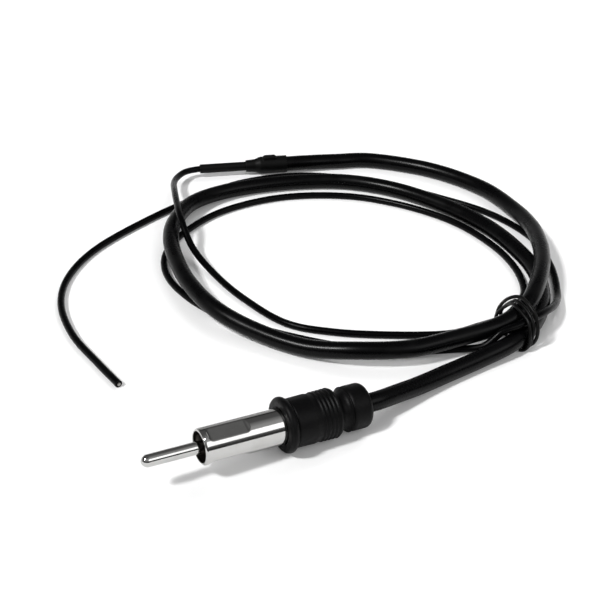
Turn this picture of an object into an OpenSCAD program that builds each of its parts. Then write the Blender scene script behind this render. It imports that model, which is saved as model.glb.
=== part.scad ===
// Marine radio antenna: a car-aerial type plug, a coaxial lead, a sleeved splice and a long insulated
// wire that is the antenna itself. Lead and wire lie in one loose coil held by a wire tie.
//
// The plug lies along X with its tip towards -X, and rests on the floor (z = 0) on its boot's front
// lip and rear collar, so it tips up a little. Pieces on the plug are drawn along their own +Z from the
// sleeve's front rim: z = 0 there, the tip is at negative z and the lead leaves at positive z.

/* [Centre pin] */
// Diameter of the pin
pin_d = 3.2; // [2.8:0.1:3.5]
// Length of the pin in front of the sleeve's rim
pin_reach = 15; // [10:0.5:20]
// Length of the rounded nose
pin_nose = 1.8; // [1.5:0.1:4]
// Radius of the nose's blunt end
pin_tip_round = 1.2; // [0.6:0.1:1.3]
// Step from the bare pin to its thicker shank in the insulator
pin_step = 0.2; // [0.1:0.05:0.25]
// Diameter of the collar that locks the pin in its insulator
pin_collar_d = 4.4; // [4.1:0.1:5]
// Width of that collar
pin_collar_w = 2; // [1:0.1:3]
// Length of the pin behind the insulator
pin_tail = 4; // [3.5:0.5:5]
// Bore of the solder cup in the pin's rear end
cup_bore = 1.2; // [1.1:0.1:2]
// Depth of the solder cup
cup_depth = 3.8; // [3:0.1:6]

/* [Sleeve] */
// Outside diameter of the sleeve
sleeve_d = 9.3; // [9:0.1:10.5]
// Wall of the sleeve
sleeve_wall = 0.5; // [0.3:0.05:0.7]
// How far the rim is drawn in at the mouth
rim_curl = 0.15; // [0.1:0.05:0.3]
// Length of the sleeve from its rim to its shoulder
sleeve_len = 25.5; // [24:0.5:32]
// Number of pressed flats
flats = 3; // [2:1:4]
// Depth of each flat
flat_depth = 0.44; // [0.2:0.02:0.6]
// Distance from the rim to the flats
flat_start = 1.2; // [0.6:0.1:2.5]
// Length of the flats
flat_len = 11.3; // [8:0.1:14]
// Radius of the curve in which a flat ends
flat_round = 2; // [1:0.1:3]
// Turn of the first flat about the plug's axis
flat_turn = 79; // [0:1:359]
// Outside diameter of the crimp neck behind the shoulder
neck_d = 4.2; // [4.1:0.05:4.5]
// Wall of the crimp neck
neck_wall = 0.5; // [0.4:0.05:0.55]
// Length of the crimp neck
neck_len = 6; // [4:0.5:8]

/* [Pin insulator] */
// Depth of the insulator's face behind the rim
insulator_recess = 3; // [1:0.5:5]
// Length of the insulator
insulator_len = 10; // [8:0.5:12]

/* [Boot] */
// Length of the boot
boot_len = 24.2; // [23:0.1:30]
// Length of sleeve that the boot covers
boot_overlap = 3.7; // [2.5:0.1:6]
// Diameter of the front lip
lip_d = 14.5; // [13.5:0.1:16]
// Width of the front lip
lip_w = 2.3; // [1.5:0.1:3]
// Largest diameter of the body
boot_d = 12.9; // [12:0.1:13.4]
// Radius of the body's long swelling curve
boot_swell = 110; // [60:5:300]
// Number of fine ribs
ribs = 5; // [3:1:6]
// Distance between ribs
rib_pitch = 1.1; // [0.9:0.05:1.4]
// Width of a rib
rib_w = 0.7; // [0.4:0.05:0.85]
// Depth of the grooves between the ribs
rib_depth = 0.25; // [0.1:0.05:0.4]
// Diameter at the bottom of the neck
boot_neck_d = 9.6; // [8.8:0.1:10.4]
// Width of the neck's groove
boot_neck_w = 3.4; // [2.5:0.1:4.5]
// Diameter of the rear collar
collar_d = 11.8; // [11:0.1:12.6]
// Length of the rear collar
collar_len = 6; // [5:0.1:8]
// Rounding of the collar's edges
collar_round = 1.6; // [0.8:0.1:2]

/* [Crimp ferrule] */
// Outside diameter of the ferrule
ferrule_d = 6.4; // [6:0.1:7]
// Length of the ferrule
ferrule_len = 10.5; // [9:0.5:12]
// Width across the flats of its crimped zone
crimp_flats = 6; // [5.7:0.05:6.3]
// Length of its crimped zone
crimp_len = 4; // [3:0.5:6]

/* [Lead] */
// Outside diameter of the coaxial lead
coax_d = 5; // [4.5:0.1:5.2]
// Diameter of its inner insulation
dielectric_d = 2.9; // [2.4:0.1:3]
// Diameter of its inner conductor
core_d = 0.75; // [0.5:0.05:0.9]

/* [Splice] */
// Length of the splice over both sleeves
splice_len = 30; // [28:0.5:40]
// Outside diameter of the thick sleeve
end_sleeve_d = 5.9; // [5.8:0.1:6.5]
// Length of the thick sleeve's straight part
end_sleeve_len = 9.3; // [9:0.1:14]
// Length of the shoulder behind the jacket's end
shrink_shoulder = 1.4; // [1:0.1:1.8]
// Length over which the thick sleeve shrinks onto the thin one
shrink_len = 4.8; // [3:0.1:7]
// Slack of the thick sleeve round the thin one at the shoulder's foot
shrink_slack = 0.25; // [0.1:0.05:0.3]
// Length of jacket inside the thick sleeve
jacket_in_sleeve = 8.5; // [6:0.5:8.8]
// Wall of the thin sleeve
thin_sleeve_wall = 0.45; // [0.3:0.05:0.6]
// Bared length of the inner insulation
stub_len = 3; // [2:0.5:4]
// Bared length of the inner conductor
bare_core = 5.5; // [4:0.5:6]
// Diameter of the antenna wire's conductor
strands_d = 0.9; // [0.6:0.05:1.2]
// Length over which the strands are laid round the inner conductor
lap_len = 3; // [2:0.5:4]
// Length of insulation inside the thin sleeve
wire_in_sleeve = 6; // [4:0.5:8]
// Diameter of the screen's twisted end
pigtail_d = 1.2; // [0.8:0.1:1.4]
// Length of the screen's twisted end
pigtail_len = 4; // [3:0.5:6]

/* [Antenna wire] */
// Outside diameter of the antenna wire
wire_d = 2.1; // [1.8:0.1:2.2]
// Diameter of one strand at the wire's cut end
strand_d = 0.34; // [0.2:0.02:0.4]
// Length by which the strands stand proud of the cut
strand_reach = 0.3; // [0.1:0.1:1]

/* [Tie] */
// Diameter of the coated tie wire
tie_d = 1; // [0.8:0.05:1.05]

/* [Fits] */
// Clearance on each side between pieces that fit in each other
fit_gap = 0.05; // [0.02:0.01:0.08]

/* [Hidden] */
$fn = 48;

nickel = "silver";
rubber_black = "#202124";
vinyl_black = "#17181a";
polythene = "ivory";
copper = "peru";
solder_grey = "darkgray";

// Places along the plug, measured from the sleeve's rim
insulator_end = insulator_recess + insulator_len;
pin_end = insulator_end + pin_tail;
shank_start = insulator_recess - 0.2;
collar_at = (insulator_recess + insulator_end - pin_collar_w) / 2;
rim_round = sleeve_wall + rim_curl;
core_start = pin_end - cup_depth + 0.3;
solder_rise = 0.8;
dielectric_start = pin_end + cup_depth;
shoulder_wall = 0.6;
neck_end = sleeve_len + neck_len;
ferrule_start = sleeve_len + 1;
braid_start = sleeve_len + 1.5;
jacket_start = neck_end + 0.5;
ferrule_end = ferrule_start + ferrule_len;
boot_start = sleeve_len - boot_overlap;
boot_end = boot_start + boot_len;
collar_start = boot_end - collar_len;
body_end = collar_start - boot_neck_w;
lip_at = boot_start + lip_w / 2;
ferrule_bore_end = ferrule_end + 0.5;

// The plug rests on lip and collar: its tilt and height follow from both
collar_rest = boot_end - collar_round;
tilt = atan((lip_d - collar_d) / 2 / (collar_rest - lip_at));
lip_axis_z = lip_w / 2 + (lip_d - lip_w) / 2 * cos(tilt);
plug_middle = (boot_end - pin_reach) / 2;
rim_x = -plug_middle * cos(tilt);
rim_z = lip_axis_z + lip_at * sin(tilt);
function plug_point(s) = [rim_x + s * cos(tilt), 0, rim_z - s * sin(tilt)];

// Place and direction of the splice on the floor, and places along it
splice_start = [77.7, 136.5];
splice_heading = 160.5;
splice_z = end_sleeve_d / 2;
function splice_point(s) =
    [splice_start.x + s * cos(splice_heading), splice_start.y + s * sin(splice_heading), splice_z];
thin_sleeve_d = wire_d + 2 * fit_gap + 2 * thin_sleeve_wall;
stub_end = jacket_in_sleeve + stub_len;
bare_core_end = stub_end + bare_core;
lap_start = bare_core_end - lap_len;
wire_start = splice_len - wire_in_sleeve;
shrink_end = end_sleeve_len + shrink_len;
pigtail_start = 4;
pigtail_turn = 75;

// Route of the lead, from inside the boot to inside the thick sleeve
lead_route = [
    plug_point(jacket_start), plug_point(jacket_start + 6), plug_point(boot_end - 2),
    [34.5, 0.15, 5.43], [41, 1.5, 4.5], [49, 3.3, 3.3], [59, 5.2, 2.7], [71, 6.8, 2.7],
    [82, 8.2, 3.4], [91, 12, 3.6], [98.8, 18.2, 3], [106, 26.8, 2.55], [112, 38.8, 2.5],
    [114.5, 52, 2.5], [114.5, 68, 2.5], [110, 86, 2.5], [101, 104, 2.5], [88, 117, 2.5],
    [70, 125, 2.5], [52, 128, 2.6], [37, 124, 3.6], [26, 113, 4.7], [20, 102, 5.05],
    [16.5, 89, 5.05], [14.8, 75, 5.05], [16, 60, 4.8], [22, 47, 3.3], [31, 33.5, 2.9],
    [42, 23, 4.7], [55, 16.8, 5.05], [68, 15.4, 5.05], [80, 15, 5.1], [87.5, 14.6, 7],
    [93.5, 16.9, 8.5], [99, 21.3, 9], [106, 28.4, 8.7], [112.8, 36.8, 7.9], [118.5, 46, 6.9],
    [124.2, 58, 5.2], [128, 73, 3.3], [128, 91, 2.5], [120, 110, 2.5], [106, 125.5, 2.5],
    [94, 131, 2.6], splice_point(-7), splice_point(0), splice_point(jacket_in_sleeve)
];
lead_ring_gap = 9;
lead_sides = 10;

// Route of the antenna wire, from inside the thin sleeve to its free end
wire_route = [
    splice_point(wire_start), splice_point(splice_len),
    [44.4, 146.8, 3], [40, 143.6, 3.5], [36, 137.5, 4.8], [32, 127, 7.3], [28.6, 117, 8.6],
    [26, 108, 8.5], [25, 97, 3.7], [26, 83, 1.35], [28, 67, 1.05], [33, 49.5, 1.05], [43, 39, 1.05],
    [57, 30, 1.05], [71, 23.2, 1.15], [80, 21.2, 2.15], [88, 21.5, 2.2], [95.5, 25, 1.9],
    [103.8, 32.4, 1.1], [109.2, 45, 1.05], [110.8, 60, 1.05], [108, 78, 1.05], [99, 95.5, 1.05],
    [85.5, 109.5, 1.05], [66, 118.3, 1.05], [45, 118.5, 1.05], [28, 111, 1.05], [17.5, 101, 1.05],
    [13, 88, 1.05], [14.2, 73, 1.05], [19.5, 59, 1.05], [28.5, 46, 1.05], [39, 34, 1.05],
    [50, 24.6, 1.05], [60, 19.4, 1.05], [68.5, 16, 1.05], [75.2, 11.9, 2.3], [80.5, 10.8, 6.1],
    [86, 9.9, 7.4], [91.5, 11, 7.4], [97.7, 13.7, 6.3], [104.4, 18.4, 3.9], [111.4, 26.2, 1.35],
    [119.3, 40, 1.05], [124.4, 57, 1.05], [122, 76, 1.05], [113, 94, 1.05], [99.5, 113.5, 1.05],
    [81, 128.8, 1.05], [60, 134, 1.05], [40, 130.5, 1.05], [20, 124, 1.05], [0, 114.5, 1.05],
    [-13, 103, 1.05], [-20.5, 89, 1.05], [-23, 72, 1.05], [-21.5, 55, 1.05], [-20, 43.5, 1.05]
];
wire_ring_gap = 11;
wire_sides = 8;

// Route of the tie wire in the bundle's own frame: along it, across it towards the front, and up
tie_middle = [88.3, 14, 0];
tie_heading = 27;
tie_route = [
    [4.5, -9, 0.6], [4.5, -9, 2], [4.1, -8.3, 4.8], [3.5, -6.9, 7.4], [2.8, -5.1, 9.7],
    [2.4, -3, 11.3], [1.9, -0.8, 12.2], [0.7, 1.4, 12.2], [-0.4, 3.7, 11.4], [-1.2, 5.7, 9.7],
    [-1.8, 6.9, 6.8], [-2.2, 7, 4], [-2.4, 6.1, 1.7], [-2.4, 4.3, 0.5], [-1.4, 1, 0.5],
    [1.7, -4, 0.5], [4.4, -7, 0.5], [5.7, -8.3, 1.5], [5.7, -8.1, 3.4], [4.9, -6.3, 6.2],
    [3.6, -4.2, 8.6], [2.3, -2.4, 10.3], [0.8, -0.2, 10.8], [-0.4, 2.2, 10.3], [-1.6, 4.4, 9.2],
    [-2.6, 5.8, 7.2], [-3.4, 6.2, 4.6], [-3.8, 5.8, 1.8], [-3.7, 4.2, 0.5], [-2.9, 0.5, 0.5],
    [-0.2, -4.4, 0.5], [2.2, -7.5, 0.5], [3.3, -8.6, 1.4], [3.2, -8.2, 3.4], [2.9, -6.6, 5.9],
    [2.2, -4.7, 8.1], [1.1, -3, 9.6], [-0.5, -0.8, 10.2], [-1.8, 1.8, 9.7], [-3, 4.2, 8.7],
    [-4, 5.5, 6.9], [-4.7, 6.1, 4.6], [-5, 6.1, 2.6], [-5, 5.4, 1.1], [-5.4, 4.5, 0.5],
    [-5.8, 3.6, 0.5]
];
tie_ring_gap = 1.7;
tie_sides = 8;

// A smooth curve through a route's points, with a ring about every gap along it
function route_at(p, i) =
    i < 0 ? 2 * p[0] - p[1] : i >= len(p) ? 2 * p[len(p) - 1] - p[len(p) - 2] : p[i];
function smooth(a, b, c, d, t) =
    (2 * b + (c - a) * t + (2 * a - 5 * b + 4 * c - d) * t * t
     + (3 * b - a - 3 * c + d) * t * t * t) / 2;
function rings_along(p, gap) = [
    for (i = [0 : len(p) - 2])
        let (steps = ceil(norm(p[i + 1] - p[i]) / gap))
        for (k = [0 : steps - 1])
            smooth(route_at(p, i - 1), p[i], p[i + 1], route_at(p, i + 2), k / steps),
    p[len(p) - 1]
];
function unit(v) = v / norm(v);
function ring_ahead(c, i) = unit(route_at(c, i + 1) - route_at(c, i - 1));

// A closed tube along ring centres. Its flat sides face the guide, which no ring's axis may follow.
module tube(centres, d, sides, guide) {
    rings = len(centres);
    points = [
        for (i = [0 : rings - 1])
            let (ahead = ring_ahead(centres, i), side = unit(cross(ahead, guide)), up = cross(side, ahead))
            for (k = [0 : sides - 1])
                let (a = (k + 0.5) * 360 / sides)
                centres[i] + d / 2 * (cos(a) * side + sin(a) * up)
    ];
    walls = [
        for (i = [0 : rings - 2])
            for (k = [0 : sides - 1])
                let (a = i * sides + k, b = i * sides + (k + 1) % sides)
                [a, a + sides, b + sides, b]
    ];
    front = [for (k = [0 : sides - 1]) k];
    rear = [for (k = [sides - 1 : -1 : 0]) (rings - 1) * sides + k];
    polyhedron(points, concat(walls, [front], [rear]));
}

// Puts a piece drawn along +Z onto the plug's axis, or onto the splice's axis
module on_plug() translate([rim_x, 0, rim_z]) rotate([0, 90 + tilt, 0]) children();
module on_splice() translate([splice_start.x, splice_start.y, splice_z])
    rotate([0, 90, splice_heading]) children();

// Half outline of a round bar between two places, with rounded outer edges
module bar_outline(r, from, to, from_round = 0, to_round = 0) {
    middle = (from + to) / 2;
    straight = to - from - from_round - to_round;
    if (straight > 0.001) translate([0, from + from_round]) square([r, straight]);
    translate([0, from]) square([r - from_round, middle - from]);
    translate([0, middle]) square([r - to_round, to - middle]);
    if (from_round > 0) round_edge(r, from + from_round, from_round);
    if (to_round > 0) round_edge(r, to - to_round, to_round);
}
module round_edge(r, at, edge) translate([r - edge, at]) circle(edge);

module bar(r, from, to, from_round = 0, to_round = 0)
    rotate_extrude() right_half() bar_outline(r, from, to, from_round, to_round);
module right_half() intersection() {
    translate([0, -100]) square([100, 250]);
    children();
}

// A plain bore, run a little past both of its ends where they are open
module bore(r, from, to) translate([0, 0, from]) cylinder(r = r, h = to - from);
module cone_bore(r_from, r_to, from, to)
    translate([0, 0, from]) cylinder(r1 = r_from, r2 = r_to, h = to - from);
past = 1;

// Cutters for the pressed flats, sunk below the sleeve's outer faces by inset
module flats_cut(inset) {
    floor_r = sleeve_d / 2 - flat_depth;
    run = sqrt(pow(flat_round, 2) - pow(flat_round - flat_depth, 2));
    for (i = [0 : flats - 1])
        rotate([0, 0, flat_turn + i * 360 / flats])
            rotate([90, 0, 0])
                linear_extrude(sleeve_d, center = true) {
                    translate([floor_r - inset, flat_start + run])
                        square([flat_round + inset, flat_len - 2 * run]);
                    for (at = [flat_start + run, flat_start + flat_len - run])
                        translate([floor_r + flat_round, at]) circle(flat_round + inset);
                }
}

// Centre pin: a turned pin whose nose is two arcs that meet smoothly
module centre_pin() color(nickel) on_plug() {
    r = pin_d / 2;
    tip_drop = pin_nose - pin_tip_round;
    side_round = (pow(r, 2) + pow(tip_drop, 2) - pow(pin_tip_round, 2)) / 2 / (r - pin_tip_round);
    nose_end = pin_nose - pin_reach;
    arcs_meet = nose_end - side_round * tip_drop / (side_round - pin_tip_round);
    difference() {
        union() {
            rotate_extrude() right_half() {
                translate([0, nose_end]) square([r, pin_end - nose_end]);
                translate([0, shank_start]) square([r + pin_step, pin_end - shank_start]);
                translate([0, pin_tip_round - pin_reach]) circle(pin_tip_round);
                intersection() {
                    translate([r - side_round, nose_end]) circle(side_round);
                    translate([0, arcs_meet]) square([r, nose_end - arcs_meet]);
                }
            }
            bar(pin_collar_d / 2, collar_at, collar_at + pin_collar_w, 0.2, 0.2);
        }
        bore(cup_bore / 2, pin_end - cup_depth, pin_end + past);
    }
}

// Insulator: moulded between pin and sleeve, so it takes the sleeve's flats and the pin's collar
module pin_insulator() color(rubber_black) on_plug() difference() {
    bar(sleeve_d / 2 - sleeve_wall - fit_gap, insulator_recess, insulator_end, 0.2, 0.2);
    flats_cut(sleeve_wall + fit_gap);
    bore(pin_d / 2 + pin_step + fit_gap, insulator_recess - past, insulator_end + past);
    bore(pin_collar_d / 2 + fit_gap, collar_at - fit_gap, collar_at + pin_collar_w + fit_gap);
}

// Sleeve: a thin plated shell whose rim is drawn in a little, with pressed flats, a shoulder and a
// crimp neck
module plug_sleeve() color(nickel) on_plug() {
    inner_r = sleeve_d / 2 - sleeve_wall;
    mouth_r = sleeve_d / 2 - rim_round;
    difference() {
        union() {
            difference() {
                bar(sleeve_d / 2, 0, sleeve_len, rim_round, shoulder_wall);
                flats_cut(0);
            }
            bore(neck_d / 2, sleeve_len - shoulder_wall, neck_end);
        }
        difference() {
            bore(inner_r, rim_round, sleeve_len - shoulder_wall);
            flats_cut(sleeve_wall);
        }
        cone_bore(mouth_r, inner_r, sleeve_wall, rim_round);
        bore(mouth_r, -past, rim_round);
        bore(neck_d / 2 - neck_wall, sleeve_len - past, neck_end + past);
    }
}

// Solder: fills the pin's cup round the core and rises in a small cone behind it
module pin_solder() color(solder_grey) on_plug() difference() {
    union() {
        bore(cup_bore / 2 - fit_gap, core_start, pin_end + fit_gap);
        translate([0, 0, pin_end + fit_gap])
            cylinder(r1 = cup_bore / 2 + 0.3, r2 = core_d / 2 + 0.15, h = solder_rise);
    }
    bore(core_d / 2 + fit_gap / 2, core_start - past, pin_end + solder_rise + past);
}

// Inner conductor from the pin's cup to the bared insulation, and that insulation up to the jacket
module coax_core() color(copper) on_plug() bore(core_d / 2, core_start, dielectric_start);
module coax_dielectric() color(polythene) on_plug() bore(dielectric_d / 2, dielectric_start, jacket_start);

// Screen: the braid's end, spread over the crimp neck
module coax_braid() color(copper) on_plug() difference() {
    bore(coax_d / 2, braid_start, jacket_start - fit_gap);
    bore(neck_d / 2 + fit_gap, braid_start - past, neck_end + past);
}

// Ferrule: a ring over braid and jacket, with a six-sided zone where it was crimped on the neck
module crimp_ferrule() color(nickel) on_plug() difference() {
    bar(ferrule_d / 2, ferrule_start, ferrule_end, 0.2, 0.2);
    translate([0, 0, braid_start + 0.5]) difference() {
        cylinder(d = ferrule_d + 1, h = crimp_len);
        translate([0, 0, -past]) cylinder(d = crimp_flats / cos(30), h = crimp_len + 2 * past, $fn = 6);
    }
    bore(coax_d / 2 + fit_gap, ferrule_start - past, ferrule_end + past);
}

// Boot: moulded rubber with a full round lip, a swelling body that ends in fine ribs, a round-bottomed
// neck and a rounded collar. Its bore steps down from the sleeve to the ferrule and the lead.
module plug_boot() color(rubber_black) on_plug() difference() {
    rotate_extrude() right_half() boot_outline();
    bore(sleeve_d / 2 + fit_gap, boot_start - past, sleeve_len + 2 * fit_gap);
    bore(ferrule_d / 2 + fit_gap, boot_start, ferrule_bore_end);
    bore(coax_d / 2 + fit_gap, boot_start, boot_end + past);
    cone_bore(coax_d / 2 + fit_gap, coax_d / 2 + fit_gap + 0.6, boot_end - 0.6, boot_end);
}
module boot_outline() {
    neck_r = boot_neck_d / 2;
    neck_at = (body_end + collar_start) / 2;
    rib_zone = ribs * rib_pitch;
    ribs_start = body_end - rib_zone - rib_w / 2;
    bar_outline(lip_d / 2, boot_start, boot_start + lip_w, lip_w / 2, lip_w / 2);
    difference() {
        union() {
            intersection() {
                bar_outline(boot_d / 2, boot_start, body_end, 0, 0.6);
                translate([boot_d / 2 - boot_swell, ribs_start]) circle(boot_swell, $fn = 240);
            }
            bar_outline(neck_r + 0.2, boot_start, boot_end - collar_round);
        }
        for (i = [0 : ribs - 1])
            translate([boot_d / 2, ribs_start + i * rib_pitch])
                rib_groove();
        translate([neck_r + boot_neck_w / 2, neck_at]) circle(d = boot_neck_w);
    }
    bar_outline(collar_d / 2, collar_start, boot_end, collar_round, collar_round);
}
module rib_groove() translate([-rib_depth, 0]) square([rib_depth + 1, rib_pitch - rib_w]);

// Lead: black PVC jacket, whole from the braid to the thick sleeve
module coax_cable() color(vinyl_black)
    tube(rings_along(lead_route, lead_ring_gap), coax_d, lead_sides, [0, 0, 1]);

// Far end of the lead inside the splice: a bared insulation stub and the inner conductor
module splice_dielectric() color(polythene) on_splice() bore(dielectric_d / 2, jacket_in_sleeve, stub_end);
module splice_core() color(copper) on_splice() bore(core_d / 2, stub_end, bare_core_end);

// The screen isn't joined to the wire: its twisted end is laid back along the jacket
module splice_braid() color(copper) on_splice() pigtail(0);
module pigtail(grow) {
    r = pigtail_d / 2 + grow;
    rotate([0, 0, pigtail_turn])
        translate([0, coax_d / 2 + 2 * fit_gap + pigtail_d / 2, pigtail_start]) {
            translate([0, 0, pigtail_d / 2]) sphere(r);
            translate([0, 0, pigtail_d / 2]) cylinder(r = r, h = pigtail_len - pigtail_d);
            translate([0, 0, pigtail_len - pigtail_d / 2]) sphere(r);
        }
}

// Stripped strands of the antenna wire, opened round the inner conductor at their end
module splice_conductor() color(copper) on_splice() difference() {
    union() {
        bore(strands_d / 2, lap_start, wire_start);
        bore(core_d / 2 + 0.35, lap_start, bare_core_end + 0.4);
        cone_bore(core_d / 2 + 0.35, strands_d / 2, bare_core_end + 0.4, bare_core_end + 1.2);
    }
    bore(core_d / 2 + fit_gap / 2, lap_start - past, bare_core_end + fit_gap);
}

// Solder round the lap, inside the thin sleeve
module splice_solder() color(solder_grey) on_splice() difference() {
    bar(wire_d / 2 - fit_gap, lap_start + 0.3, bare_core_end + 0.3, 0.15, 0.15);
    bore(core_d / 2 + 0.35 + fit_gap / 2, lap_start - past, bare_core_end + past);
}

// Thin shrink sleeve over the joint and the wire's insulation, cut square
module splice_sleeve() color(vinyl_black) on_splice() difference() {
    bore(thin_sleeve_d / 2, stub_end + fit_gap, splice_len);
    bore(wire_d / 2 + fit_gap, stub_end - past, splice_len + past);
}

// Thick shrink sleeve over the lead's end. It bulges over the screen's twisted end and shrinks down
// onto the thin sleeve.
module coax_end_sleeve() color(vinyl_black) on_splice() {
    wall = end_sleeve_d / 2 - coax_d / 2 - fit_gap;
    thin_r = thin_sleeve_d / 2 + fit_gap;
    foot_r = thin_r + shrink_slack;
    foot = end_sleeve_len + shrink_shoulder;
    difference() {
        union() {
            bar(end_sleeve_d / 2, 0, end_sleeve_len, 0.15, 0);
            cone_bore(end_sleeve_d / 2, foot_r + wall, end_sleeve_len, foot);
            cone_bore(foot_r + wall, thin_r + wall, foot, shrink_end);
            pigtail(wall + fit_gap);
        }
        bore(coax_d / 2 + fit_gap, -past, end_sleeve_len);
        cone_bore(coax_d / 2 + fit_gap, foot_r, end_sleeve_len, foot);
        cone_bore(foot_r, thin_r, foot, shrink_end);
        bore(thin_r, end_sleeve_len, shrink_end + past);
        pigtail(fit_gap);
    }
}

// Antenna wire: one insulated wire from the splice to its cut free end
module antenna_wire() color(vinyl_black)
    tube(rings_along(wire_route, wire_ring_gap), wire_d, wire_sides, [0, 0, 1]);

// The seven strands that show at the cut, one in the middle and six round it
module wire_core_end() color(copper) {
    centres = rings_along(wire_route, wire_ring_gap);
    last = centres[len(centres) - 1];
    ahead = last - centres[len(centres) - 2];
    translate(last) rotate([0, 90, atan2(ahead.y, ahead.x)]) {
        cylinder(d = strand_d, h = strand_reach);
        for (i = [0 : 5])
            rotate([0, 0, i * 60]) translate([strand_d, 0, 0]) cylinder(d = strand_d, h = strand_reach);
    }
}

// Tie: one coated wire, looped over the bundle and wound twice round it
module twist_tie() color(rubber_black)
    translate(tie_middle) rotate([0, 0, tie_heading])
        tube(
            rings_along([for (p = tie_route) [p.x, -p.y, p.z]], tie_ring_gap), tie_d, tie_sides, [1, 0, 0]
        );

centre_pin();
pin_insulator();
plug_sleeve();
pin_solder();
coax_core();
coax_dielectric();
coax_braid();
crimp_ferrule();
plug_boot();
coax_cable();
splice_dielectric();
splice_core();
splice_braid();
splice_conductor();
splice_solder();
splice_sleeve();
coax_end_sleeve();
antenna_wire();
wire_core_end();
twist_tie();
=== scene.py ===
from math import atan, atan2, ceil, cos, degrees, hypot, pi, radians, sin, sqrt

import bmesh
import bpy
from mathutils import Matrix, Vector


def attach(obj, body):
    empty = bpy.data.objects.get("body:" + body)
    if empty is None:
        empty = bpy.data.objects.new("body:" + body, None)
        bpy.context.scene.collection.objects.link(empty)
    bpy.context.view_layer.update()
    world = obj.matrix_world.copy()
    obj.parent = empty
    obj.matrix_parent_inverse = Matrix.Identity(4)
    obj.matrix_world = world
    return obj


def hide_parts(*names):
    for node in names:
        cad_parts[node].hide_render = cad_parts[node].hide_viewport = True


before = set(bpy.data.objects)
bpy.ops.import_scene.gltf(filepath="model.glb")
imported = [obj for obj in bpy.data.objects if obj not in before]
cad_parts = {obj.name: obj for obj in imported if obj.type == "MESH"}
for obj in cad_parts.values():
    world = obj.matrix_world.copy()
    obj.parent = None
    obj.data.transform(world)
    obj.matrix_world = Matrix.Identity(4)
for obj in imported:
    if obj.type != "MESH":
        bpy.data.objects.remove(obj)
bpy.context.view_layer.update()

MM = 0.001

# Camera: the photograph looks down on the plug from the front left, through a short telephoto lens
# that takes in the whole coil.
CAMERA_AT = (-0.1112, -0.2366, 0.2113)
CAMERA_TURN = 27.5
CAMERA_DOWN = 32.3
LENS = 80.4
camera = bpy.data.objects.new("camera", bpy.data.cameras.new("camera"))
camera.data.lens = LENS
camera.data.sensor_width = 36
camera.location = CAMERA_AT
camera.rotation_euler = (radians(90 - CAMERA_DOWN), 0, -radians(CAMERA_TURN))
bpy.context.collection.objects.link(camera)
bpy.context.scene.camera = camera
bpy.context.scene.view_settings.view_transform = "Standard"


# Coaxial lead: round black PVC jacket, 5 mm across, that comes out of the plug's boot, makes two loose
# turns and ends in the splice. Its route is the one of the solid, smoothed through the same points.
class Net:
    """A node tree. add() makes a node from its type, settings and sockets; a ramp's stops are greys."""

    def __init__(self, tree):
        self.tree = tree

    def add(self, kind, settings=None, sockets=None, output=0):
        node = self.tree.nodes.new(kind)
        for name, value in (settings or {}).items():
            if name == "stops":
                ramp = node.color_ramp
                while len(ramp.elements) > 1:
                    ramp.elements.remove(ramp.elements[-1])
                for order, (at, shade) in enumerate(value):
                    stop = ramp.elements[0] if order == 0 else ramp.elements.new(at)
                    stop.position = at
                    stop.color = (shade, shade, shade, 1)
            else:
                setattr(node, name, value)
        for name, value in (sockets or {}).items():
            self.feed(node.inputs[name], value)
        return Flow(self, node, output)

    def feed(self, socket, value):
        """Links a flow to a socket, or sets the socket to a plain value."""
        if isinstance(value, Flow):
            self.tree.links.new(value.socket, socket)
        else:
            socket.default_value = value


class Flow:
    """A node's output; a sum or a product with it adds a Math node."""

    def __init__(self, net, node, output=0):
        self.net = net
        self.node = node
        self.socket = node.outputs[output]

    def math(self, operation, first, second):
        return self.net.add("ShaderNodeMath", {"operation": operation}, {0: first, 1: second})

    def __add__(self, other):
        return self.math("ADD", self, other)

    def __radd__(self, other):
        return self.math("ADD", other, self)

    def __mul__(self, other):
        return self.math("MULTIPLY", self, other)


def finish(name, fixed):
    """A material with one Principled shader; fixed holds the sockets that are the same all over."""
    material = bpy.data.materials.new(name)
    material.use_nodes = True
    net = Net(material.node_tree)
    shader = material.node_tree.nodes["Principled BSDF"]
    for socket, value in fixed.items():
        shader.inputs[socket].default_value = value
    place = net.add("ShaderNodeTexCoord", output="Object")
    return material, net, shader, place


def noise(net, place, per_mm, detail=3.0, roughness=0.5):
    """Noise whose grains are about 1 / per_mm millimetres."""
    sockets = {"Vector": place, "Scale": per_mm / MM, "Detail": detail, "Roughness": roughness}
    return net.add("ShaderNodeTexNoise", {}, sockets)


def masked(net, mask, low, high):
    """A Mix node between two colours; each is a flow or three plain values."""
    mix = net.add("ShaderNodeMix", {"data_type": "RGBA"}, {"Factor": mask}, output=2)
    for socket, tint in zip(mix.node.inputs[6:8], (low, high)):
        net.feed(socket, tint if isinstance(tint, Flow) else (*tint, 1))
    return mix


def colour(net, shader, mask, low, high):
    """Gives the piece a colour that runs between two, by a mask."""
    net.feed(shader.inputs["Base Color"], masked(net, mask, low, high))


def bump(net, height, depth_mm, before=None):
    """A bump of a depth in millimetres, laid over another one if that is given."""
    sockets = {"Height": height, "Distance": depth_mm * MM, "Strength": 1.0}
    if before is not None:
        sockets["Normal"] = before
    return net.add("ShaderNodeBump", {}, sockets)


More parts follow.
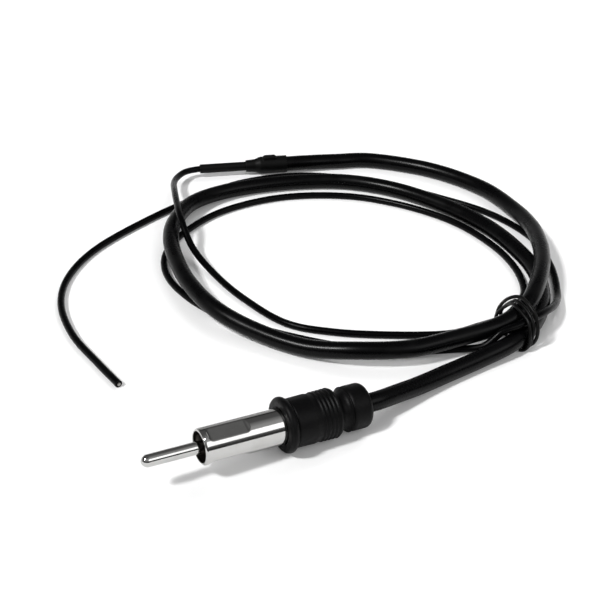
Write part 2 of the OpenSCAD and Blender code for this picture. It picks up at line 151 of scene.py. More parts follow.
def vinyl(name, grain_mm, scuffs, shine):
    """Black PVC: near black, a soft gloss, the faint peel of an extruded jacket and a few dull rubs.

    grain_mm is the size of the peel, scuffs how dull a rub is and shine the strength of the gloss.
    """
    material, net, shader, place = finish(name, {"IOR": 1.5, "Specular IOR Level": shine})
    rub = net.add("ShaderNodeMapRange", {}, {
        "Value": noise(net, place, 0.12, 4), "From Min": 0.52, "From Max": 0.7})
    peel = noise(net, place, 1 / grain_mm, 3)
    colour(net, shader, rub * 0.6, (0.0008, 0.0008, 0.001), (0.0024, 0.0024, 0.0026))
    net.feed(shader.inputs["Roughness"], 0.24 + rub * scuffs + noise(net, place, 1.4, 2) * 0.06)
    net.feed(shader.inputs["Normal"], bump(net, peel, 0.004))
    return material


def smooth_route(route, step=0.8):
    """The curve through a route's points, in metres, with a point about every step millimetres."""
    points = [Vector(p) for p in route]
    ends = [2 * points[0] - points[1]] + points + [2 * points[-1] - points[-2]]
    line = []
    for a, b, c, d in zip(ends, ends[1:], ends[2:], ends[3:]):
        count = ceil((c - b).length / step)
        for k in range(count):
            t = k / count
            line.append((2 * b + (c - a) * t + (2 * a - 5 * b + 4 * c - d) * t * t
                         + (3 * b - a - 3 * c + d) * t ** 3) / 2 * MM)
    return line + [points[-1] * MM]


def length_of(line):
    """The length of a line of points, in their own unit."""
    return sum((b - a).length for a, b in zip(line, line[1:]))


def tube_tree():
    """Geometry nodes that sweep a round section along an edge path and close its ends."""
    tree = bpy.data.node_groups.new("round_along_path", "GeometryNodeTree")
    for title, kind, default in (
        ("Path", "NodeSocketGeometry", None), ("Radius", "NodeSocketFloat", 0.001),
        ("Sides", "NodeSocketInt", 24), ("Material", "NodeSocketMaterial", None),
    ):
        socket = tree.interface.new_socket(title, in_out="INPUT", socket_type=kind)
        if default is not None:
            socket.default_value = default
    tree.interface.new_socket("Tube", in_out="OUTPUT", socket_type="NodeSocketGeometry")
    net = Net(tree)
    given = tree.nodes.new("NodeGroupInput")
    titles = ("Path", "Radius", "Sides", "Material")
    path, radius, sides, material = (Flow(net, given, title) for title in titles)
    curve = net.add("GeometryNodeMeshToCurve", {}, {"Mesh": path})
    ring = net.add("GeometryNodeCurvePrimitiveCircle", {}, {"Radius": radius, "Resolution": sides})
    profile = {"Curve": curve, "Profile Curve": ring, "Fill Caps": True}
    tube = net.add("GeometryNodeCurveToMesh", {}, profile)
    real = net.add("GeometryNodeRealizeInstances", {}, {"Geometry": tube})
    done = net.add("GeometryNodeSetMaterial", {}, {"Geometry": real, "Material": material})
    out = tree.nodes.new("NodeGroupOutput")
    net.feed(out.inputs["Tube"], done)
    return tree


def sweep(name, line, diameter, sides, material):
    """A plain mesh tube along a line, made by the tree above."""
    path = bpy.data.meshes.new(name + "_path")
    path.from_pydata([tuple(p) for p in line], [(i, i + 1) for i in range(len(line) - 1)], [])
    piece = bpy.data.objects.new(name, path)
    bpy.context.collection.objects.link(piece)
    modifier = piece.modifiers.new("sweep", "NODES")
    modifier.node_group = TUBE
    for item in TUBE.interface.items_tree:
        value = {"Radius": diameter / 2, "Sides": sides, "Material": material}.get(item.name)
        if item.in_out == "INPUT" and value is not None:
            modifier[item.identifier] = value
    return settle(piece)


def settle(piece):
    """Turns what a piece's modifiers make into its own plain mesh, smooth but for its flat ends."""
    evaluated = piece.evaluated_get(bpy.context.evaluated_depsgraph_get())
    mesh = bpy.data.meshes.new_from_object(evaluated)
    mesh.name = piece.name
    piece.modifiers.clear()
    piece.data = mesh
    tidy = bmesh.new()
    tidy.from_mesh(mesh)
    bmesh.ops.recalc_face_normals(tidy, faces=tidy.faces)
    tidy.to_mesh(mesh)
    tidy.free()
    for face in mesh.polygons:
        face.use_smooth = len(face.vertices) <= 4
    return piece


# Sizes of the plug and the splice that the lead starts and ends in, in millimetres
LIP_D, LIP_W, LIP_AT = 14.5, 2.3, 22.95
COLLAR_D, COLLAR_REST = 11.8, 44.4
PIN_TIP, BOOT_END = -15.0, 46.0
JACKET_START = 32.0
BOOT_GRIP = 2.0
TILT = atan((LIP_D - COLLAR_D) / 2 / (COLLAR_REST - LIP_AT))
RIM_X = -(BOOT_END + PIN_TIP) / 2 * cos(TILT)
RIM_Z = LIP_W / 2 + (LIP_D - LIP_W) / 2 * cos(TILT) + LIP_AT * sin(TILT)
SPLICE_AT = (77.7, 136.5)
SPLICE_TURN = radians(160.5)
SPLICE_Z = 2.95
JACKET_IN_SLEEVE = 8.5
SPLICE_LEN = 30.0
WIRE_START = 24.0


def on_plug(s):
    """A point on the plug's axis, s millimetres behind the sleeve's rim."""
    return (RIM_X + s * cos(TILT), 0.0, RIM_Z - s * sin(TILT))


def on_splice(s):
    """A point on the splice's axis, s millimetres from where the thick sleeve starts."""
    return (SPLICE_AT[0] + s * cos(SPLICE_TURN), SPLICE_AT[1] + s * sin(SPLICE_TURN), SPLICE_Z)


LEAD_D = 5.0
LEAD_ROUTE = [
    on_plug(JACKET_START), on_plug((JACKET_START + BOOT_END - BOOT_GRIP) / 2), on_plug(BOOT_END - BOOT_GRIP),
    (34.5, 0.15, 5.43), (41, 1.5, 4.5), (49, 3.3, 3.3), (59, 5.2, 2.7), (71, 6.8, 2.7),
    (82, 8.2, 3.4), (91, 12, 3.6), (98.8, 18.2, 3), (106, 26.8, 2.55), (112, 38.8, 2.5),
    (114.5, 52, 2.5), (114.5, 68, 2.5), (110, 86, 2.5), (101, 104, 2.5), (88, 117, 2.5),
    (70, 125, 2.5), (52, 128, 2.6), (37, 124, 3.6), (26, 113, 4.7), (20, 102, 5.05),
    (16.5, 89, 5.05), (14.8, 75, 5.05), (16, 60, 4.8), (22, 47, 3.3), (31, 33.5, 2.9),
    (42, 23, 4.7), (55, 16.8, 5.05), (68, 15.4, 5.05), (80, 15, 5.1), (87.5, 14.6, 7),
    (93.5, 16.9, 8.5), (99, 21.3, 9), (106, 28.4, 8.7), (112.8, 36.8, 7.9), (118.5, 46, 6.9),
    (124.2, 58, 5.2), (128, 73, 3.3), (128, 91, 2.5), (120, 110, 2.5), (106, 125.5, 2.5),
    (94, 131, 2.6), on_splice(-7), on_splice(0), on_splice(JACKET_IN_SLEEVE),
]
TUBE = tube_tree()
jacket_vinyl = vinyl("jacket_vinyl", 0.35, 0.12, 0.12)
lead_line = smooth_route(LEAD_ROUTE)
lead = sweep("coax_jacket", lead_line, LEAD_D * MM, 32, jacket_vinyl)
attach(lead, "root")
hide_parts("coax_cable")

# Antenna wire: thin insulated wire that leaves the splice, crosses over the lead at the left, makes two
# turns through the tie and ends cut off at the front left.
WIRE_D = 2.1
WIRE_ROUTE = [
    on_splice(WIRE_START), on_splice(SPLICE_LEN),
    (44.4, 146.8, 3), (40, 143.6, 3.5), (36, 137.5, 4.8), (32, 127, 7.3), (28.6, 117, 8.6),
    (26, 108, 8.5), (25, 97, 3.7), (26, 83, 1.35), (28, 67, 1.05), (33, 49.5, 1.05), (43, 39, 1.05),
    (57, 30, 1.05), (71, 23.2, 1.15), (80, 21.2, 2.15), (88, 21.5, 2.2), (95.5, 25, 1.9),
    (103.8, 32.4, 1.1), (109.2, 45, 1.05), (110.8, 60, 1.05), (108, 78, 1.05), (99, 95.5, 1.05),
    (85.5, 109.5, 1.05), (66, 118.3, 1.05), (45, 118.5, 1.05), (28, 111, 1.05), (17.5, 101, 1.05),
    (13, 88, 1.05), (14.2, 73, 1.05), (19.5, 59, 1.05), (28.5, 46, 1.05), (39, 34, 1.05),
    (50, 24.6, 1.05), (60, 19.4, 1.05), (68.5, 16, 1.05), (75.2, 11.9, 2.3), (80.5, 10.8, 6.1),
    (86, 9.9, 7.4), (91.5, 11, 7.4), (97.7, 13.7, 6.3), (104.4, 18.4, 3.9), (111.4, 26.2, 1.35),
    (119.3, 40, 1.05), (124.4, 57, 1.05), (122, 76, 1.05), (113, 94, 1.05), (99.5, 113.5, 1.05),
    (81, 128.8, 1.05), (60, 134, 1.05), (40, 130.5, 1.05), (20, 124, 1.05), (0, 114.5, 1.05),
    (-13, 103, 1.05), (-20.5, 89, 1.05), (-23, 72, 1.05), (-21.5, 55, 1.05), (-20, 43.5, 1.05),
]
wire_vinyl = vinyl("wire_vinyl", 0.3, 0.1, 0.08)
wire_line = smooth_route(WIRE_ROUTE)
wire = sweep("wire_insulation", wire_line, WIRE_D * MM, 24, wire_vinyl)
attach(wire, "root")
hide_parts("antenna_wire")

# Tie: one thin wire in a black coating, looped over the bundle and wound round it twice, with both
# cut ends left free.
TIE_D = 1.0
TIE_MIDDLE = Vector((88.3, 14, 0))
TIE_TURN = radians(27)
TIE_ROUTE = [
    (4.5, -9, 0.6), (4.5, -9, 2), (4.1, -8.3, 4.8), (3.5, -6.9, 7.4), (2.8, -5.1, 9.7),
    (2.4, -3, 11.3), (1.9, -0.8, 12.2), (0.7, 1.4, 12.2), (-0.4, 3.7, 11.4), (-1.2, 5.7, 9.7),
    (-1.8, 6.9, 6.8), (-2.2, 7, 4), (-2.4, 6.1, 1.7), (-2.4, 4.3, 0.5), (-1.4, 1, 0.5),
    (1.7, -4, 0.5), (4.4, -7, 0.5), (5.7, -8.3, 1.5), (5.7, -8.1, 3.4), (4.9, -6.3, 6.2),
    (3.6, -4.2, 8.6), (2.3, -2.4, 10.3), (0.8, -0.2, 10.8), (-0.4, 2.2, 10.3), (-1.6, 4.4, 9.2),
    (-2.6, 5.8, 7.2), (-3.4, 6.2, 4.6), (-3.8, 5.8, 1.8), (-3.7, 4.2, 0.5), (-2.9, 0.5, 0.5),
    (-0.2, -4.4, 0.5), (2.2, -7.5, 0.5), (3.3, -8.6, 1.4), (3.2, -8.2, 3.4), (2.9, -6.6, 5.9),
    (2.2, -4.7, 8.1), (1.1, -3, 9.6), (-0.5, -0.8, 10.2), (-1.8, 1.8, 9.7), (-3, 4.2, 8.7),
    (-4, 5.5, 6.9), (-4.7, 6.1, 4.6), (-5, 6.1, 2.6), (-5, 5.4, 1.1), (-5.4, 4.5, 0.5),
    (-5.8, 3.6, 0.5)
]
tie_turned = Matrix.Rotation(TIE_TURN, 3, "Z")
tie_route = [TIE_MIDDLE + tie_turned @ Vector((along, -across, up)) for along, across, up in TIE_ROUTE]
tie_coating, net, shader, place = finish("tie_coating", {"IOR": 1.5, "Specular IOR Level": 0.16})
colour(net, shader, noise(net, place, 0.5), (0.001, 0.001, 0.001), (0.003, 0.003, 0.003))
net.feed(shader.inputs["Roughness"], 0.28 + noise(net, place, 1.2) * 0.2)
net.feed(shader.inputs["Normal"], bump(net, noise(net, place, 3), 0.02))
TIE_STEP = 0.25
tie = sweep("tie_wire", smooth_route(tie_route, TIE_STEP), TIE_D * MM, 20, tie_coating)
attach(tie, "root")
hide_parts("twist_tie")

# Splice: a thick shrink sleeve over the lead's end and a thin one over the joint and the wire. The
# thick one was shrunk with a hot-air gun: it has drawn down onto the thin one and shows the end of
# the screen as a bulge.
THICK_R, THIN_R = 2.95, 1.55
THICK_LEN, STEP_END, SHRINK_END = 9.3, 10.7, 14.1
THICK_BORE, THIN_BORE = 2.55, 1.1
THIN_START = 11.55
FIT_GAP, SHRINK_SLACK = 0.05, 0.25
THICK_EDGE, THIN_EDGE = 0.15, 0.05
STEP_ROUND, STEP_SOFT, FOOT_TAPER = 0.15, 0.1, 0.03
SKIN = 0.01


def arc(s, r, radius, start, end, count=8):
    """Points (s, r) on an arc, from one angle to another in degrees."""
    angles = [radians(start + (end - start) * k / count) for k in range(count + 1)]
    return [(s + radius * cos(a), r + radius * sin(a)) for a in angles]


def turned(name, outline, to_frame, sides, material, shape=None):
    """A closed piece turned about its axis from a closed outline of (s, r) points; shape may change r."""
    mesh = bmesh.new()
    rings = []
    for s, r in outline:
        ring = []
        for k in range(sides):
            a = 2 * pi * k / sides
            radius = shape(a, s, r) if shape else r
            ring.append(mesh.verts.new(to_frame @ Vector((radius * cos(a), radius * sin(a), s))))
        rings.append(ring)
    for here, there in zip(rings, rings[1:] + rings[:1]):
        for k in range(sides):
            mesh.faces.new((here[k], here[(k + 1) % sides], there[(k + 1) % sides], there[k]))
    bmesh.ops.remove_doubles(mesh, verts=mesh.verts, dist=1e-7)
    bmesh.ops.dissolve_degenerate(mesh, edges=mesh.edges, dist=1e-8)
    bmesh.ops.recalc_face_normals(mesh, faces=mesh.faces)
    for face in mesh.faces:
        face.smooth = True
    data = bpy.data.meshes.new(name)
    mesh.to_mesh(data)
    mesh.free()
    data.materials.append(material)
    piece = bpy.data.objects.new(name, data)
    bpy.context.collection.objects.link(piece)
    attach(piece, "root")
    return piece


def rows(outline, step):
    """The same outline with points no further than step apart, so that a shape can bend it."""
    filled = []
    for (s, r), (next_s, next_r) in zip(outline, outline[1:] + outline[:1]):
        count = max(1, ceil(hypot(next_s - s, next_r - r) / step))
        filled += [(s + (next_s - s) * k / count, r + (next_r - r) * k / count) for k in range(count)]
    return filled


SPLICE_FRAME = (Matrix.Scale(MM, 4) @ Matrix.Translation((*SPLICE_AT, SPLICE_Z))
                @ Matrix.Rotation(SPLICE_TURN, 4, "Z") @ Matrix.Rotation(pi / 2, 4, "Y"))
PIGTAIL_FROM, PIGTAIL_TO, PIGTAIL_R = 4.6, 7.4, 0.6
PIGTAIL_GAP = 0.1
PIGTAIL_AT = LEAD_D / 2 + PIGTAIL_GAP + PIGTAIL_R
PIGTAIL_TURN = radians(165)
WALL = THICK_R - THICK_BORE
FOOT_R = THIN_R + FIT_GAP + SHRINK_SLACK
CREASE_DEPTH = 0.06

shrink, net, shader, place = finish("shrink_sleeve", {"IOR": 1.5, "Specular IOR Level": 0.13})
colour(net, shader, noise(net, place, 0.3, 4), (0.001, 0.001, 0.001), (0.003, 0.003, 0.003))
net.feed(shader.inputs["Roughness"], 0.4 + noise(net, place, 0.8) * 0.18)
net.feed(shader.inputs["Normal"], bump(net, noise(net, place, 0.5, 5), 0.08))


def over_pigtail(a, s, r, cover):
    """Radius of a sleeve that is pushed out over the screen's twisted end."""
    if r < THICK_BORE - SKIN:
        return r
    off = a - PIGTAIL_TURN
    beyond = max(PIGTAIL_FROM - s, s - PIGTAIL_TO, 0)
    reach = (PIGTAIL_R + cover) ** 2 - beyond ** 2 - (PIGTAIL_AT * sin(off)) ** 2
    if reach <= 0 or cos(off) < 0:
        return r
    pushed = PIGTAIL_AT * cos(off) + sqrt(reach)
    return max(r, pushed)


def thick_shape(a, s, r):
    """Radius of the thick sleeve: slow creases outside, and the bulge over the screen's end."""
    cover = WALL if r >= THICK_R - WALL / 2 else FIT_GAP
    crease = 0
    if r > THICK_R - STEP_SOFT:
        crease = CREASE_DEPTH * max(0, sin(2 * a + 0.7 * s)) * max(0, sin(s / THICK_LEN * pi))
    return over_pigtail(a, s, r - crease, cover)


thick_outline = (
    arc(THICK_EDGE, THICK_R - THICK_EDGE, THICK_EDGE, 180, 90, 3)
    + [(THICK_LEN - 2 * STEP_ROUND, THICK_R), (THICK_LEN + STEP_ROUND, THICK_R - STEP_SOFT)]
    + [(STEP_END - STEP_ROUND, FOOT_R + WALL + STEP_SOFT)]
    + [(STEP_END + 2 * STEP_ROUND, FOOT_R + WALL - FOOT_TAPER)]
    + [(SHRINK_END, THIN_R + FIT_GAP + WALL), (SHRINK_END, THIN_R + FIT_GAP)]
    + [(STEP_END, FOOT_R), (THICK_LEN, THICK_BORE), (0, THICK_BORE)]
)
thick = turned("thick_sleeve", rows(thick_outline, 0.15), SPLICE_FRAME, 96, shrink, thick_shape)
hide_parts("coax_end_sleeve")
thin_outline = (
    arc(THIN_START + THIN_EDGE, THIN_R - THIN_EDGE, THIN_EDGE, 180, 90, 2)
    + arc(SPLICE_LEN - THIN_EDGE, THIN_R - THIN_EDGE, THIN_EDGE, 90, 0, 2)
    + [(SPLICE_LEN, THIN_BORE), (THIN_START, THIN_BORE)]
)
thin = turned("thin_sleeve", rows(thin_outline, 0.3), SPLICE_FRAME, 64, shrink)
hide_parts("splice_sleeve")

# Inside the splice and the plug: tinned copper strands, milky polythene and dull solder, all on their
# own solids. Only the strands in the wire's cut end are seen until a sleeve is opened.
def dress(node, material):
    """Gives a node that keeps its solid its own finish."""
    kept = bpy.data.objects[node]
    kept.data.materials.clear()
    kept.data.materials.append(material)


copper, net, shader, place = finish("tinned_copper", {"Metallic": 1.0})
colour(net, shader, noise(net, place, 0.8), (0.26, 0.25, 0.235), (0.36, 0.35, 0.33))
net.feed(shader.inputs["Roughness"], 0.3 + noise(net, place, 2) * 0.2)
polythene, net, shader, place = finish("polythene", {"IOR": 1.51})
colour(net, shader, noise(net, place, 0.4), (0.72, 0.71, 0.66), (0.82, 0.81, 0.77))
net.feed(shader.inputs["Roughness"], 0.35 + noise(net, place, 1) * 0.1)
solder, net, shader, place = finish("solder", {"Metallic": 1.0})
colour(net, shader, noise(net, place, 1), (0.42, 0.42, 0.43), (0.58, 0.58, 0.58))
net.feed(shader.inputs["Roughness"], 0.35 + noise(net, place, 1.5) * 0.25)
INNER = {
    copper: ("coax_core", "coax_braid", "splice_core", "splice_braid", "splice_conductor", "wire_core_end"),
    polythene: ("coax_dielectric", "splice_dielectric"),
    solder: ("pin_solder", "splice_solder"),
}
for material, nodes in INNER.items():
    for node in nodes:
        dress(node, material)

# Centre pin: solid nickel-plated brass, turned to a blunt round nose, with a thicker shank and a collar
# in the insulator and a solder cup at its rear end.
PLUG_FRAME = (Matrix.Scale(MM, 4) @ Matrix.Translation((RIM_X, 0, RIM_Z))
              @ Matrix.Rotation(pi / 2 + TILT, 4, "Y"))
PIN_R, SHANK_R, PIN_COLLAR_R, PIN_END = 1.6, 1.8, 2.2, 17.0
NOSE_LEN, TIP_ROUND, SHANK_START = 1.8, 1.2, 2.8
COLLAR_FROM, COLLAR_TO = 7.0, 9.0
CUP_R, CUP_AT = 0.6, 13.2

nickel, net, shader, place = finish("nickel_plate", {"Metallic": 1.0})
haze = net.add("ShaderNodeMapRange", {}, {
    "Value": noise(net, place, 0.25, 5), "From Min": 0.45, "From Max": 0.75})
colour(net, shader, haze * 0.7, (0.57, 0.567, 0.557), (0.5, 0.495, 0.48))
net.feed(shader.inputs["Roughness"], 0.06 + haze * 0.06 + noise(net, place, 2.5) * 0.03)
turning_marks = {"Vector": place, "Rotation": (0, TILT, 0), "Scale": (60, 1, 1)}
along_axis = net.add("ShaderNodeMapping", {}, turning_marks)
net.feed(shader.inputs["Normal"], bump(net, noise(net, along_axis, 0.05, 2), 0.003))


def pin_outline():
    """Half the pin from its tip: an arc, a wider arc that runs into the side, shank, collar and cup."""
    drop = NOSE_LEN - TIP_ROUND
    side = (PIN_R ** 2 + drop ** 2 - TIP_ROUND ** 2) / 2 / (PIN_R - TIP_ROUND)
    nose_end = PIN_TIP + NOSE_LEN
    meet = degrees(atan2(side - PIN_R, drop))
    tip = arc(PIN_TIP + TIP_ROUND, 0, TIP_ROUND, 180, 180 - meet, 12)
    flank = arc(nose_end, PIN_R - side, side, 180 - meet, 90, 16)
    shank = [(SHANK_START, PIN_R), (SHANK_START, SHANK_R)]
    collar = [(COLLAR_FROM, SHANK_R), (COLLAR_FROM, PIN_COLLAR_R)]
    collar += [(COLLAR_TO, PIN_COLLAR_R), (COLLAR_TO, SHANK_R)]
    cup = [(PIN_END, SHANK_R), (PIN_END, CUP_R), (CUP_AT, CUP_R), (CUP_AT, 0)]
    return tip + flank + shank + collar + cup


pin = turned("pin", rows(pin_outline(), 0.5), PLUG_FRAME, 64, nickel)
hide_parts("centre_pin")

# Sleeve: thin brass shell, drawn and turned, with a curled rim. It is nickel-plated outside and dull
# inside, where its colour is darkened further as painted shade in the recess. Three flats are pressed
# into it to hold the insulator.
SLEEVE_R, SLEEVE_WALL, SLEEVE_LEN = 4.65, 0.5, 25.5
RIM_ROUND, RIM_EDGE, RIM_ARC = 0.65, 0.08, (174, 90)
FLAT_DEPTH, FLAT_START, FLAT_LEN, FLAT_ROUND = 0.44, 1.2, 11.3, 2.0
FLATS, FLAT_TURN = 3, radians(79)
FLAT_EDGE, FLAT_RUN_OUT = 0.07, 3
NECK_R, NECK_WALL, NECK_END = 2.1, 0.5, 31.5
SHOULDER = 0.6
OFF_THE_SHELL = 9.0


def flat_floor(s, sink):
    """Distance from the axis to a flat's floor, which rises in an arc at both ends."""
    run = sqrt(FLAT_ROUND ** 2 - (FLAT_ROUND - FLAT_DEPTH) ** 2)
    low = SLEEVE_R - FLAT_DEPTH
    first, last = FLAT_START + run, FLAT_START + FLAT_LEN - run
    beyond = max(first - s, s - last, 0)
    radius = FLAT_ROUND + sink
    if beyond >= radius:
        return OFF_THE_SHELL
    return low + FLAT_ROUND - sqrt(radius ** 2 - beyond ** 2)


def softer_min(a, b, blend):
    """The smaller of two, rounded where they meet."""
    h = max(blend - abs(a - b), 0) / blend
    return min(a, b) - h * h * blend / 4


def sleeve_shape(a, s, r):
    """Radius of the shell, pressed in to a flat's floor where that is nearer to the axis."""
    if r < SLEEVE_R - SLEEVE_WALL - SKIN or s > FLAT_START + FLAT_LEN + FLAT_RUN_OUT:
        return r
    sink = SLEEVE_R - r
    step = 2 * pi / FLATS
    off = (a - FLAT_TURN + step / 2) % step - step / 2
    return softer_min(r, flat_floor(s, sink) / cos(off), FLAT_EDGE)


sleeve_outline = (
    [(SLEEVE_WALL, SLEEVE_R - RIM_ROUND), (RIM_EDGE, SLEEVE_R - RIM_ROUND)]
    + arc(RIM_ROUND, SLEEVE_R - RIM_ROUND, RIM_ROUND, *RIM_ARC, 14)
    + arc(SLEEVE_LEN - SHOULDER, SLEEVE_R - SHOULDER, SHOULDER, 90, 0, 6)
    + [(SLEEVE_LEN, NECK_R), (NECK_END, NECK_R), (NECK_END, NECK_R - NECK_WALL)]
    + [(SLEEVE_LEN - SHOULDER, NECK_R - NECK_WALL), (SLEEVE_LEN - SHOULDER, SLEEVE_R - SLEEVE_WALL)]
    + [(RIM_ROUND, SLEEVE_R - SLEEVE_WALL)]
)
sleeve = turned("sleeve", rows(sleeve_outline, 0.14), PLUG_FRAME, 192, nickel, sleeve_shape)
# Inner finish: dull unplated metal, its colour painted near black as shade in the recess behind the rim.
dull_and_shaded, net, shader, place = finish("dull_and_shaded_inside", {"Metallic": 1.0})
colour(net, shader, noise(net, place, 0.7), (0.05, 0.045, 0.04), (0.1, 0.09, 0.08))
net.feed(shader.inputs["Roughness"], 0.42 + noise(net, place, 1.5) * 0.2)
sleeve.data.materials.append(dull_and_shaded)
# Faces inside this radius, past the rim's round, get the painted shade of the recess.
DULL_SHADED_R, DULL_SHADED_FROM = 4.2, 0.3
to_axis = PLUG_FRAME.inverted()
for face in sleeve.data.polygons:
    middle = to_axis @ face.center
    if hypot(middle.x, middle.y) < DULL_SHADED_R and DULL_SHADED_FROM < middle.z < SLEEVE_LEN - SHOULDER:
        face.material_index = 1
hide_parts("plug_sleeve")

# Insulator and ferrule: the black moulded bush between pin and sleeve, and the crimped ring under the
# boot. Both keep their solids.
moulding, net, shader, place = finish("insulator_moulding", {"IOR": 1.5, "Specular IOR Level": 0.15})
colour(net, shader, noise(net, place, 0.6), (0.001, 0.001, 0.001), (0.003, 0.003, 0.003))
net.feed(shader.inputs["Roughness"], 0.5 + noise(net, place, 1.5) * 0.2)
net.feed(shader.inputs["Normal"], bump(net, noise(net, place, 4), 0.02))
dress("pin_insulator", moulding)
dress("crimp_ferrule", nickel)

# Boot: black rubber moulding pushed over sleeve and ferrule, with a full round lip in front, a body
# that swells and ends in fine ribs, a waist and a rounded collar where the lead comes out.
BOOT_START, BODY_R, BODY_END = 21.8, 6.45, 36.6
BODY_START, BODY_DROP, BODY_SWELL = 24.6, 0.12, 0.02
LIP_FILLET, FILLET_DROP = 0.25, 0.35
COLLAR_START, COLLAR_ROUND, COLLAR_EASE = 40.0, 1.6, 1.2
WAIST_R, WAIST_W = 4.8, 3.4
RIBS, RIB_PITCH, RIB_DEPTH, RIB_RISE, RIB_POINTS = 5, 1.1, 0.28, 0.1, 10
BOOT_BORES = [(25.6, 4.7), (37.5, 3.25), (45.4, 2.55)]
BELL, MOUTH_RUN, MOUTH_EASE = 0.5, 0.3, 0.25

rubber, net, shader, place = finish("boot_rubber", {"IOR": 1.5, "Specular IOR Level": 0.11})
cloud = noise(net, place, 0.25, 5)
colour(net, shader, cloud, (0.0008, 0.0008, 0.0009), (0.0026, 0.0026, 0.0028))
net.feed(shader.inputs["Roughness"], 0.36 + cloud * 0.2)
waves = bump(net, noise(net, place, 0.5, 3), 0.12)
net.feed(shader.inputs["Normal"], bump(net, noise(net, place, 2.2, 4), 0.03, waves))


def boot_outline():
    """Half the boot, along its outside from the lip to the collar and back through its bores."""
    bead = LIP_W / 2
    front = arc(BOOT_START + bead, LIP_D / 2 - bead, bead, 180, 0, 18)
    ribs_start = BODY_END - RIBS * RIB_PITCH
    body = [(BOOT_START + LIP_W + LIP_FILLET, BODY_R - FILLET_DROP)]
    for k in range(int(ribs_start - BODY_START)):
        body.append((BODY_START + k, BODY_R - BODY_DROP + BODY_SWELL * k))
    ribs = []
    for k in range(RIBS * RIB_POINTS + 1):
        wave = (1 - cos(2 * pi * k / RIB_POINTS)) / 2
        rise = RIB_RISE * k / (RIBS * RIB_POINTS)
        ribs.append((ribs_start + k * RIB_PITCH / RIB_POINTS, BODY_R - RIB_DEPTH + rise + wave * RIB_DEPTH))
    waist_at = (BODY_END + COLLAR_START) / 2
    waist = arc(waist_at, WAIST_R + WAIST_W / 2, WAIST_W / 2, 200, 340, 16)
    collar_r = COLLAR_D / 2
    collar = arc(COLLAR_START + COLLAR_EASE, collar_r - COLLAR_EASE, COLLAR_EASE, 150, 90, 8)
    collar += arc(BOOT_END - COLLAR_ROUND, collar_r - COLLAR_ROUND, COLLAR_ROUND, 90, 0, 12)
    (sleeve_end, sleeve_r), (ferrule_end, ferrule_r), (bell, lead_r) = BOOT_BORES
    inside = [(BOOT_END, lead_r + BELL), (bell, lead_r), (ferrule_end, lead_r), (ferrule_end, ferrule_r)]
    inside += [(sleeve_end, ferrule_r), (sleeve_end, sleeve_r)]
    inside += [(BOOT_START + MOUTH_RUN, sleeve_r), (BOOT_START, sleeve_r + MOUTH_EASE)]
    return front + body + ribs + waist + collar + inside


boot = turned("boot", rows(boot_outline(), 0.3), PLUG_FRAME, 128, rubber)
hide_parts("plug_boot")

# The two cords: the lead leaves the boot and ends in the splice, and the antenna wire leaves the splice
# and ends cut off, as in the photograph. Here only the lead's exit point and both lengths are worked out;
# nothing uses them.
boot_exit = [v * MM for v in on_plug(BOOT_END)]
length_of(lead_line)
length_of(wire_line)

# Floor: matt white paper that keeps the object's shadow. A faint glow that camera and transmission rays
# see lifts it to plain white. Glossy rays miss it, so the plated parts mirror the paper as it is lit.
FLOOR_HALF = 3.0
WHITEN = 0.08
floor_mesh = bpy.data.meshes.new("floor")
corners = [(x * FLOOR_HALF, y * FLOOR_HALF, 0) for x, y in ((-1, -1), (1, -1), (1, 1), (-1, 1))]
floor_mesh.from_pydata(corners, [], [(0, 1, 2, 3)])
floor = bpy.data.objects.new("floor", floor_mesh)
bpy.context.collection.objects.link(floor)
paper_finish = {"Base Color": (0.9, 0.9, 0.9, 1), "Roughness": 1.0, "Specular IOR Level": 0.0}
paper, net, shader, place = finish("floor_paper", paper_finish)
rays = net.add("ShaderNodeLightPath").node
seen = Flow(net, rays, "Is Camera Ray") + Flow(net, rays, "Is Transmission Ray")
net.feed(shader.inputs["Emission Color"], masked(net, seen, (0, 0, 0), (1, 1, 1)))
shader.inputs["Emission Strength"].default_value = WHITEN
floor_mesh.materials.append(paper)

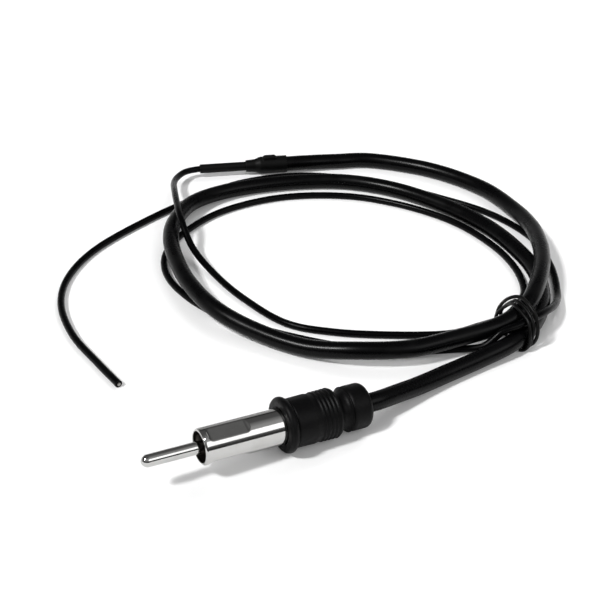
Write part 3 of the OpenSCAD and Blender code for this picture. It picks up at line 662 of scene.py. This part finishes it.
# Room that the plated parts mirror: greys by height, one run for the side behind the object and one for
# the camera's side, with a dark band low down. The camera itself sees plain white.
FAR_SIDE = [(0.0, 0.45), (0.3, 0.4), (0.38, 0.03), (0.46, 0.015), (0.54, 0.09), (0.9, 0.11)]
NEAR_SIDE = [(0.0, 0.04), (0.2, 0.05), (0.36, 0.15), (0.8, 0.45), (0.93, 0.35), (0.98, 0.11)]
world = bpy.data.worlds.new("studio")
bpy.context.scene.world = world
world.use_nodes = True
net = Net(world.node_tree)
background = world.node_tree.nodes["Background"]
way = net.add("ShaderNodeTexCoord", output="Generated")
parts = net.add("ShaderNodeSeparateXYZ", {}, {0: way}).node
up = Flow(net, parts, "Z")
far_side = net.add("ShaderNodeValToRGB", {"stops": FAR_SIDE}, {"Fac": up})
near_side = net.add("ShaderNodeValToRGB", {"stops": NEAR_SIDE}, {"Fac": up})
behind = net.add("ShaderNodeMapRange", {}, {
    "Value": Flow(net, parts, "Y"), "From Min": -0.2, "From Max": 0.3})
room = masked(net, behind, near_side, far_side)
camera_ray = net.add("ShaderNodeLightPath", output="Is Camera Ray")
net.feed(background.inputs["Color"], masked(net, camera_ray, room, (1, 1, 1)))
background.inputs["Strength"].default_value = 1.0


# Lamps: a far key from the left, a wide far one from behind on the right, and the panel in front whose
# mirror image is the bright line along the sleeve and the cords.
def hang(name, data, way, away):
    """Puts a lamp in the direction way from the origin, as far as away in metres, and aims it back."""
    lamp = bpy.data.objects.new(name, data)
    lamp.location = Vector(way).normalized() * away
    lamp.rotation_euler = Vector(way).to_track_quat("Z", "Y").to_euler()
    bpy.context.collection.objects.link(lamp)
    return lamp


def far_lamp(name, way, strength, width):
    """A lamp so far off that it lights the whole floor alike; width is its apparent size in degrees."""
    data = bpy.data.lights.new(name, "SUN")
    data.energy = strength
    data.angle = radians(width)
    return hang(name, data, way, 2)


far_lamp("key_left", (-0.63, -0.06, 0.78), 2.6, 9)
fill = far_lamp("fill_right", (0.55, 0.45, 0.7), 1.0, 34)
fill.visible_glossy = False
panel = bpy.data.lights.new("panel_in_front", "AREA")
panel.shape = "RECTANGLE"
panel.size, panel.size_y = 0.8, 0.42
panel.energy = 1.8
hang("panel_in_front", panel, (0.39, -0.69, 0.61), 0.9)
